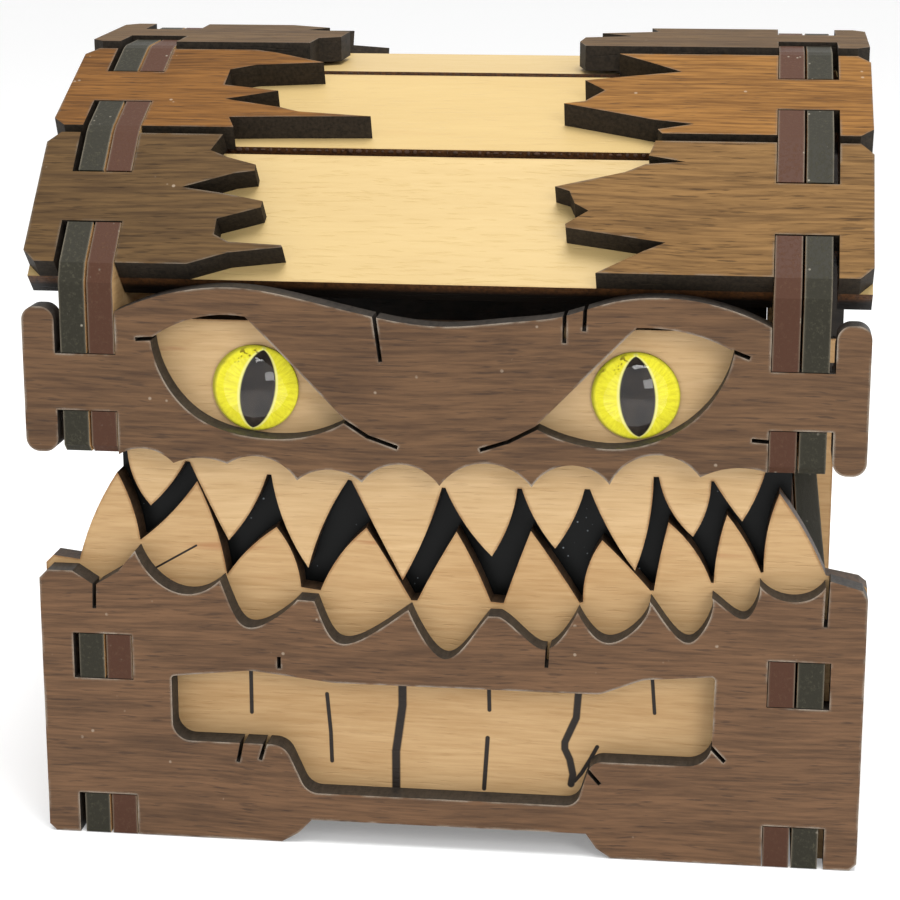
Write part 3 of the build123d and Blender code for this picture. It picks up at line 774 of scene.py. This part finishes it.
    def glossy_black(self) -> bpy.types.Material:
        """Glossy black mouth sheet with dust flecks.

        Returns:
            The material.
        """
        material, g, shader = self._new("mouth_black")
        raw = self._object(g)
        dust = self._dust(g, raw, 900.0, 0.10)
        colour = g.mix(dust, srgb(20, 21, 21), srgb(150, 158, 164))
        g.feed(shader.inputs["Base Color"], colour)
        g.feed(shader.inputs["Roughness"], g.math("MULTIPLY_ADD", g.noise(raw, 120, 3), 0.16, 0.22))
        shader.inputs["Specular IOR Level"].default_value = 0.12
        return material

    def iris(self, name: str, centre: Vector, tilt: float) -> bpy.types.Material:
        """Yellow iris with a pointed upright pupil and a darker rim.

        Args:
            name: Material name.
            centre: Middle of the eye in the row frame, in metres.
            tilt: Lean of the pupil in radians.

        Returns:
            The material.
        """
        material, g, shader = self._new(name)
        raw = self._object(g)
        offset = g.vector("SUBTRACT", raw, tuple(centre))
        rotate = g.node("ShaderNodeVectorRotate", rotation_type="Y_AXIS")
        g.feed(rotate.inputs["Vector"], offset)
        rotate.inputs["Angle"].default_value = tilt
        parts = g.node("ShaderNodeSeparateXYZ")
        g.feed(parts.inputs[0], rotate.outputs[0])
        across, up = parts.outputs[0], parts.outputs[2]
        # Slit pupil with rounded flanks that meet in a blunt point.
        height = g.math("DIVIDE", g.math("ABSOLUTE", up), 4.35 * MM)
        left = g.math("SUBTRACT", 1.0, g.math("POWER", height, 2.0), clamp=True)
        half = g.math("MULTIPLY", g.math("POWER", left, 0.72), 1.72 * MM)
        inside = g.math("SUBTRACT", half, g.math("ABSOLUTE", across))
        pupil = g.ramp(inside, -0.08 * MM, 0.12 * MM)
        halo = g.ramp(inside, -0.34 * MM, -0.12 * MM)
        flat = g.vector("MULTIPLY", offset, (1.0, 0.0, 1.0))
        radius = g.math("DIVIDE", g.vector("LENGTH", flat), 5.0 * MM)
        spokes = g.node("ShaderNodeTexGradient", gradient_type="RADIAL")
        turned = g.node("ShaderNodeCombineXYZ")
        g.feed(turned.inputs[0], across)
        g.feed(turned.inputs[1], up)
        g.feed(spokes.inputs[0], turned.outputs[0])
        ring = g.node("ShaderNodeCombineXYZ")
        g.feed(ring.inputs[0], g.math("MULTIPLY", spokes.outputs["Fac"], 40.0))
        g.feed(ring.inputs[1], g.math("MULTIPLY", radius, 1.6))
        fibres = g.noise(ring.outputs[0], 1.6, 4, 0.7)
        colour = g.mix(g.ramp(fibres, 0.35, 0.7), srgb(246, 238, 58), srgb(226, 214, 44))
        colour = g.mix(g.math("MULTIPLY", halo, 0.7), colour, srgb(240, 236, 158))
        freckles = g.ramp(g.noise(offset, 900, 2), 0.58, 0.64)
        freckles = g.math("MULTIPLY", freckles, g.ramp(up, 1.6 * MM, 2.6 * MM))
        freckles = g.math("MULTIPLY", freckles, g.ramp(across, 0.2 * MM, -0.6 * MM))
        colour = g.mix(g.math("MULTIPLY", freckles, 0.8), colour, srgb(92, 66, 20))
        colour = g.mix(g.ramp(radius, 0.86, 1.0), colour, srgb(150, 146, 20))
        cloud = g.ramp(g.noise(offset, 520, 4, 0.6), 0.35, 0.70)
        colour = g.mix(pupil, colour, g.mix(cloud, srgb(24, 20, 18), srgb(52, 44, 38)))
        g.feed(shader.inputs["Base Color"], colour)
        shader.inputs["Roughness"].default_value = 0.45
        shader.inputs["Specular IOR Level"].default_value = 0.1
        return material

    def glass(self, back: float) -> bpy.types.Material:
        """Clear dome: thin reflection over the iris behind it.

        Args:
            back: Place along y of the flat side that is glued to the iris.

        Returns:
            The material.
        """
        material, g, shader = self._new("dome_glass")
        raw = self._object(g)
        shader.inputs["Base Color"].default_value = WHITE
        shader.inputs["Transmission Weight"].default_value = 1.0
        shader.inputs["IOR"].default_value = 1.45
        shader.inputs["Specular IOR Level"].default_value = 0.3
        g.feed(shader.inputs["Roughness"], g.math("MULTIPLY", g.noise(raw, 300, 2), 0.03))
        # Light reaches the disc behind the dome, and the glued side has no mirror of its own.
        path = g.node("ShaderNodeLightPath")
        through = g.math("MAXIMUM", path.outputs["Is Shadow Ray"], path.outputs["Is Diffuse Ray"])
        depth = g.vector("DOT_PRODUCT", raw, (0.0, 1.0, 0.0))
        glued = g.math("GREATER_THAN", depth, back - 0.015 * MM)
        through = g.math("MAXIMUM", through, glued)
        clear = g.node("ShaderNodeBsdfTransparent")
        joined = g.node("ShaderNodeMixShader")
        g.feed(joined.inputs[0], through)
        g.feed(joined.inputs[1], shader.outputs[0])
        g.feed(joined.inputs[2], clear.outputs[0])
        output = next(n for n in material.node_tree.nodes if n.type == "OUTPUT_MATERIAL")
        g.feed(output.inputs["Surface"], joined.outputs[0])
        return material

    def brass(self) -> bpy.types.Material:
        """Brushed brass of the hinges.

        Returns:
            The material.
        """
        material, g, shader = self._new("hinge_brass")
        raw = self._object(g)
        brushed = g.vector("MULTIPLY", raw, (0.08, 1.0, 1.0))
        lines = g.noise(brushed, 2600, 3, 0.6)
        spots = g.ramp(g.noise(raw, 320, 4, 0.6), 0.5, 0.7)
        colour = g.mix(g.math("MULTIPLY", spots, 0.35), srgb(206, 168, 92), srgb(128, 92, 46))
        g.feed(shader.inputs["Base Color"], colour)
        shader.inputs["Metallic"].default_value = 1.0
        g.feed(shader.inputs["Roughness"], g.math("MULTIPLY_ADD", lines, 0.2, 0.24))
        return material

    def burn(self) -> bpy.types.Material:
        """Charred wood of the burn marks.

        Returns:
            The material.
        """
        material, g, shader = self._new("burn_char")
        raw = self._object(g)
        char = g.mix(g.noise(raw, 1500, 3), srgb(30, 20, 14), srgb(84, 52, 28))
        g.feed(shader.inputs["Base Color"], char)
        shader.inputs["Roughness"].default_value = 0.8
        self._bump(g, shader, g.noise(raw, 5000, 3), 0.4, 0.05 * MM)
        return material

    def floor(self) -> bpy.types.Material:
        """Plain pale floor.

        Returns:
            The material.
        """
        material, g, shader = self._new("floor_pale")
        shader.inputs["Base Color"].default_value = (0.88, 0.88, 0.88, 1.0)
        shader.inputs["Roughness"].default_value = 0.7
        shader.inputs["Specular IOR Level"].default_value = 0.1
        g.feed(shader.inputs["Emission Color"], g.mix(seen(g), BLACK, WHITE))
        shader.inputs["Emission Strength"].default_value = 0.22
        return material


class Chest:
    """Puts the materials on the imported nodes."""

    BASE_MIDDLE = 0.4 * MM      # the base sits this far to the right of the lid
    SHEET = 3.0 * MM
    PLANK_NORMALS = {           # lean of each plank towards the front, in degrees
        "front": 45.0, "upper_front": 24.0, "top": 2.5, "upper_back": -24.0, "back": -45.0,
    }
    # The left boards of the two front rows get darker looks than the right ones: painted shade on
    # the left, painted light on the right.
    BOARD_LOOKS = {
        ("front", "left"): DARK_WALNUT, ("front", "right"): LIT_BROWN_WALNUT,
        ("upper_front", "left"): SHADED_WARM_WALNUT, ("upper_front", "right"): WARM_WALNUT,
        ("top", "left"): DARK_WALNUT, ("top", "right"): DARK_WALNUT,
        ("upper_back", "left"): WARM_WALNUT, ("upper_back", "right"): BROWN_WALNUT,
        ("back", "left"): BROWN_WALNUT, ("back", "right"): BROWN_WALNUT,
    }

    def __init__(self, frame: dict, materials: Materials) -> None:
        """Keeps the frame.

        Args:
            materials: Material maker.
        """
        self.nodes = frame["nodes"]
        self.materials = materials

    def _give(self, node: str, material: bpy.types.Material) -> None:
        """Sets a node's only material.

        Args:
            node: CAD node name.
            material: Its material.
        """
        mesh = self.nodes[node].data
        mesh.materials.clear()
        mesh.materials.append(material)

    def _wood(self, node: str, look: dict, face: Sequence[float], shift: float,
              **more: object) -> None:
        """Gives a node its own cut of wood.

        Args:
            node: CAD node name.
            look: Colours.
            face: Normal of the sheet.
            shift: Grain offset in metres.
            **more: More fields of the look.
        """
        made = WoodLook(name=f"wood_{node}", shift=shift, **{**look, **more})
        self._give(node, self.materials.wood(made, Vector(face), self.BASE_MIDDLE))

    def dress(self) -> None:
        """Gives every node its material."""
        self._dress_sheets()
        self._dress_planks()
        self._dress_sides()
        self._dress_eyes()
        self._give("mouth_backing", self.materials.glossy_black())
        brass = self.materials.brass()
        for name in self.nodes:
            if "hinge" in name:
                self._give(name, brass)

    def _dress_sheets(self) -> None:
        """Gives the flat sheets across the chest their wood."""
        front = (0.0, 1.0, 0.0)
        self._wood("front_panel", WALNUT, front, 0.11)
        self._wood("face_panel", FACE_WALNUT, front, 0.37)
        self._wood("back_panel", WALNUT, front, 0.62)
        self._wood("lid_back_panel", WALNUT, front, 0.83)
        self._wood("lower_teeth", BIRCH, front, 0.21, strokes=WINDOW_STROKES)
        self._wood("upper_teeth", LIGHT_BIRCH, front, 0.45)
        self._wood("back_liner", BIRCH, front, 0.71)
        # The face of the lid's back liner that looks into the lid is painted dark as shade.
        self._wood("lid_back_liner", BIRCH, front, 0.93, outer=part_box("lid_back_liner")[1].y)
        self._wood("floor_panel", PLAIN_BIRCH, (0.0, 0.0, 1.0), 0.33)

    def _dress_planks(self) -> None:
        """Gives each slat and its two broken boards their wood."""
        for index, (row, degrees) in enumerate(self.PLANK_NORMALS.items()):
            turn = math.radians(degrees)
            normal = (0.0, -math.sin(turn), math.cos(turn))
            low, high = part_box(f"lid_slat_{row}")
            lowest = high.y if turn < 0 else low.y
            arris = Vector((0.0, lowest, low.z + self.SHEET * math.cos(turn)))
            outer = arris.dot(Vector(normal))
            # The slats' faces that look into the lid are painted dark as shade, and their cut edges
            # turn near-black deeper down.
            self._wood(f"lid_slat_{row}", PLAIN_BIRCH, normal, 0.17 * index, outer=outer)
            for hand in ("left", "right"):
                look = self.BOARD_LOOKS[(row, hand)]
                shift = 0.29 * index + (0.13 if hand == "left" else 0.0)
                self._wood(f"board_{row}_{hand}", look, normal, shift)

    def _dress_sides(self) -> None:
        """Gives the side sheets their painted edges, black outside and brown inside."""
        stained = WoodLook(name="side_stained", **WALNUT)
        pale = WoodLook(name="side_pale", shift=0.5, **BIRCH)
        for hand, outward in (("left", -1.0), ("right", 1.0)):
            black = self.materials.side(
                f"side_black_{hand}", srgb(44, 42, 33), srgb(90, 87, 71), outward, stained, pale)
            brown = self.materials.side(
                f"side_brown_{hand}", srgb(74, 47, 34), srgb(102, 76, 58), outward, pale, pale)
            for body in ("base", "lid"):
                self._give(f"{body}_side_outer_{hand}", black)
                self._give(f"{body}_side_inner_{hand}", brown)

    def _dress_eyes(self) -> None:
        """Gives the eyes their iris and glass, and puts smooth domes over them."""
        glass = self.materials.glass(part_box("eye_left")[1].y)
        for hand, tilt, aside in (("left", -0.16, 0.35), ("right", 0.06, 0.2)):
            low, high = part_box(f"iris_{hand}")
            centre = (low + high) / 2 + Vector((aside * MM, 0.0, 0.0))
            self._give(f"iris_{hand}", self.materials.iris(f"iris_{hand}", centre, tilt))
            self._give(f"eye_{hand}", glass)
            EyeDome(hand).build(glass)


@dataclass
class EyeDome:
    """Smooth polished dome in the place of a CAD dome."""

    SHARP = math.radians(40.0)      # the rim is sharper than this

    hand: str
    rings: int = 20
    spokes: int = 96

    def build(self, glass: bpy.types.Material) -> None:
        """Makes the dome and lets it ride on the lid.

        Args:
            glass: Material of the dome.
        """
        low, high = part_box(f"eye_{self.hand}")
        radius, height = (high.x - low.x) / 2, high.y - low.y
        sphere = (radius ** 2 + height ** 2) / (2 * height)
        middle = Vector(((low.x + high.x) / 2, high.y, (low.z + high.z) / 2))
        reach = math.asin(radius / sphere)
        points = [middle - Vector((0.0, height, 0.0))]
        for ring in range(1, self.rings + 1):
            angle = reach * ring / self.rings
            out, depth = sphere * math.sin(angle), height - sphere * (1.0 - math.cos(angle))
            for spoke in range(self.spokes):
                turn = 2.0 * math.pi * spoke / self.spokes
                points.append(middle + Vector((out * math.cos(turn), -depth, out * math.sin(turn))))
        faces = []
        for spoke in range(self.spokes):
            after = (spoke + 1) % self.spokes
            faces.append((0, 1 + spoke, 1 + after))
            for ring in range(self.rings - 1):
                inner, outer = 1 + ring * self.spokes, 1 + (ring + 1) * self.spokes
                faces.append((inner + spoke, outer + spoke, outer + after, inner + after))
        last = 1 + (self.rings - 1) * self.spokes
        faces.append(tuple(last + spoke for spoke in reversed(range(self.spokes))))
        mesh = bpy.data.meshes.new(f"dome_{self.hand}")
        mesh.from_pydata([tuple(point) for point in points], [], faces)
        mesh.polygons.foreach_set("use_smooth", [True] * (len(faces) - 1) + [False])
        mesh.set_sharp_from_angle(angle=self.SHARP)
        mesh.materials.append(glass)
        dome = bpy.data.objects.new(f"dome_{self.hand}", mesh)
        bpy.context.scene.collection.objects.link(dome)
        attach(dome, "lid")
        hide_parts(f"eye_{self.hand}")
        log.info("dome_%s: %d faces", self.hand, len(faces))


@dataclass
class SlatBurns:
    """Burn marks left by the cutter in a row along the slats' edges."""

    SMALLEST = (0.3, 0.20, 0.3)     # least scale of a mark along each axis
    LARGEST = (1.9, 0.40, 1.2)

    spacing: float = 0.95 * MM
    size: float = 0.22 * MM
    sunk: float = 0.30 * MM     # middle of a mark below the arris
    reach: float = 30.0 * MM
    seed: int = 7

    def _lines(self) -> bpy.types.Object:
        """Draws one line along the outer arris of each slat's cut edge.

        Returns:
            An object of loose edges.
        """
        ends, links = [], []
        for row, side in (("upper_front", 0), ("top", 0), ("top", 1), ("upper_back", 1)):
            low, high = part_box(f"lid_slat_{row}")
            turn = math.radians(Chest.PLANK_NORMALS[row])
            y = (low, high)[side].y
            z = low.z + Chest.SHEET * math.cos(turn)
            if (side == 1) == (turn > 0):       # the arris at the slat's high end
                z = high.z
            if side == 1 and turn > 0:
                y -= Chest.SHEET * math.sin(turn)
            links.append((len(ends), len(ends) + 1))
            ends += [(-self.reach, y, z - self.sunk), (self.reach, y, z - self.sunk)]
        mesh = bpy.data.meshes.new("slat_burns")
        mesh.from_pydata(ends, links, [])
        lines = bpy.data.objects.new("slat_burns", mesh)
        bpy.context.scene.collection.objects.link(lines)
        return lines

    def _tree(self, material: bpy.types.Material) -> bpy.types.NodeTree:
        """Builds the node tree that scatters the marks along the lines.

        Args:
            material: Material of the marks.

        Returns:
            The tree, with inputs Spacing, Size and Seed.
        """
        tree = bpy.data.node_groups.new("burn_marks", "GeometryNodeTree")
        face = tree.interface
        face.new_socket(name="Geometry", in_out="INPUT", socket_type="NodeSocketGeometry")
        for label, kind, value in (("Spacing", "NodeSocketFloat", self.spacing),
                                   ("Size", "NodeSocketFloat", self.size),
                                   ("Seed", "NodeSocketInt", self.seed)):
            socket = face.new_socket(name=label, in_out="INPUT", socket_type=kind)
            socket.default_value = value
        face.new_socket(name="Geometry", in_out="OUTPUT", socket_type="NodeSocketGeometry")
        g = Graph(tree)
        source, target = g.node("NodeGroupInput"), g.node("NodeGroupOutput")
        curve = g.node("GeometryNodeMeshToCurve")
        g.feed(curve.inputs["Mesh"], source.outputs["Geometry"])
        points = g.node("GeometryNodeCurveToPoints", mode="LENGTH")
        g.feed(points.inputs["Curve"], curve.outputs["Curve"])
        g.feed(points.inputs["Length"], source.outputs["Spacing"])
        ball = g.node("GeometryNodeMeshIcoSphere")
        ball.inputs["Subdivisions"].default_value = 2
        g.feed(ball.inputs["Radius"], source.outputs["Size"])
        size = g.node("FunctionNodeRandomValue", data_type="FLOAT_VECTOR")
        size.inputs[0].default_value = self.SMALLEST
        size.inputs[1].default_value = self.LARGEST
        g.feed(size.inputs["Seed"], source.outputs["Seed"])
        placed = g.node("GeometryNodeInstanceOnPoints")
        g.feed(placed.inputs["Points"], points.outputs["Points"])
        g.feed(placed.inputs["Instance"], ball.outputs["Mesh"])
        g.feed(placed.inputs["Scale"], size.outputs[0])
        real = g.node("GeometryNodeRealizeInstances")
        g.feed(real.inputs[0], placed.outputs[0])
        finish = g.node("GeometryNodeSetMaterial")
        g.feed(finish.inputs["Geometry"], real.outputs[0])
        finish.inputs["Material"].default_value = material
        g.feed(target.inputs["Geometry"], finish.outputs[0])
        return tree

    def build(self, material: bpy.types.Material) -> None:
        """Makes the marks and lets them ride on the lid.

        Args:
            material: Material of the marks.
        """
        lines = self._lines()
        modifier = lines.modifiers.new("marks", "NODES")
        modifier.node_group = self._tree(material)
        graph = bpy.context.evaluated_depsgraph_get()
        made = bpy.data.meshes.new_from_object(lines.evaluated_get(graph))
        lines.modifiers.remove(modifier)
        lines.data = made
        made.name = "slat_burns"
        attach(lines, "lid")
        log.info("slat burns: %d faces", len(made.polygons))


@dataclass(frozen=True)
class Lamp:
    """A square area light that points at the chest's middle."""

    name: str
    place: tuple[float, float, float]   # metres
    size: float                         # metres
    power: float                        # watts


class Studio:
    """Camera, light and floor."""

    IMAGE_PX = 900
    FOCAL_PX = 2378.7           # focal length for an image of that width
    SENSOR = 36.0
    NEAREST = 0.01              # metres
    PITCH = math.radians(14.23)
    YAW = math.radians(7.25)
    PLACE = Vector((33.48, -258.31, 114.69))    # millimetres from the base's front bottom middle
    MIDDLE = Vector((0.0, 0.0, 0.045))          # what the lamps point at
    LAMPS = (
        Lamp("key", (0.05, -0.12, 0.60), 0.30, 2.7),
        Lamp("fill", (-0.45, -0.45, 0.25), 0.40, 0.1),
        Lamp("window", (0.23, -0.38, 0.26), 0.16, 0.5),
    )
    SKY = 0.8                   # strength of the light from all round
    FLOOR_HALF = 3.0            # metres
    FLOOR_DROP = 0.1 * MM       # keeps the floor clear of the feet

    def __init__(self, front: float) -> None:
        """Keeps where the front is.

        Args:
            front: Y of the chest's front in metres.
        """
        self.front = front

    def camera(self) -> None:
        """Adds the camera at the photograph's place."""
        data = bpy.data.cameras.new("camera")
        data.sensor_width = self.SENSOR
        data.sensor_fit = "HORIZONTAL"
        data.lens = self.FOCAL_PX / self.IMAGE_PX * self.SENSOR
        data.clip_start = self.NEAREST
        camera = bpy.data.objects.new("camera", data)
        camera.location = Vector((
            self.PLACE.x * MM + Chest.BASE_MIDDLE, self.PLACE.y * MM + self.front, self.PLACE.z * MM
        ))
        camera.rotation_euler = (math.pi / 2 - self.PITCH, 0.0, self.YAW)
        bpy.context.scene.collection.objects.link(camera)
        bpy.context.scene.camera = camera

    def _area(self, lamp: Lamp) -> None:
        """Adds an area light.

        Args:
            lamp: The light's place, size and power.
        """
        data = bpy.data.lights.new(lamp.name, "AREA")
        data.size = lamp.size
        data.energy = lamp.power
        light = bpy.data.objects.new(lamp.name, data)
        light.location = lamp.place
        aim = self.MIDDLE - Vector(lamp.place)
        light.rotation_euler = aim.to_track_quat("-Z", "Y").to_euler()
        bpy.context.scene.collection.objects.link(light)

    def lights(self) -> None:
        """Adds soft studio light and a pale surround."""
        for lamp in self.LAMPS:
            self._area(lamp)
        world = bpy.data.worlds.new("world")
        bpy.context.scene.world = world
        world.use_nodes = True
        g = Graph(world.node_tree)
        shade = next(n for n in world.node_tree.nodes if n.type == "BACKGROUND")
        shade.inputs["Color"].default_value = WHITE
        g.feed(shade.inputs["Strength"], g.math("MULTIPLY_ADD", seen(g), 1.0 - self.SKY, self.SKY))

    def floor(self, material: bpy.types.Material) -> None:
        """Adds the floor.

        Args:
            material: Its material.
        """
        mesh = bpy.data.meshes.new("floor")
        half = self.FLOOR_HALF
        corners = ((-half, -half), (half, -half), (half, half), (-half, half))
        mesh.from_pydata([(x, y, -self.FLOOR_DROP) for x, y in corners], [], [(0, 1, 2, 3)])
        mesh.materials.append(material)
        floor = bpy.data.objects.new("floor", mesh)
        bpy.context.scene.collection.objects.link(floor)


def main() -> None:
    """Builds the scene."""
    logging.basicConfig(level=logging.INFO)
    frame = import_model()
    scene = bpy.context.scene
    scene.view_settings.view_transform = "Standard"
    materials = Materials(Groups())
    Chest(frame, materials).dress()
    SlatBurns().build(materials.burn())
    studio = Studio(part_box("front_panel")[0].y)
    studio.camera()
    studio.lights()
    studio.floor(materials.floor())
    log.info("scene ready")


if __name__ == "__main__":
    main()
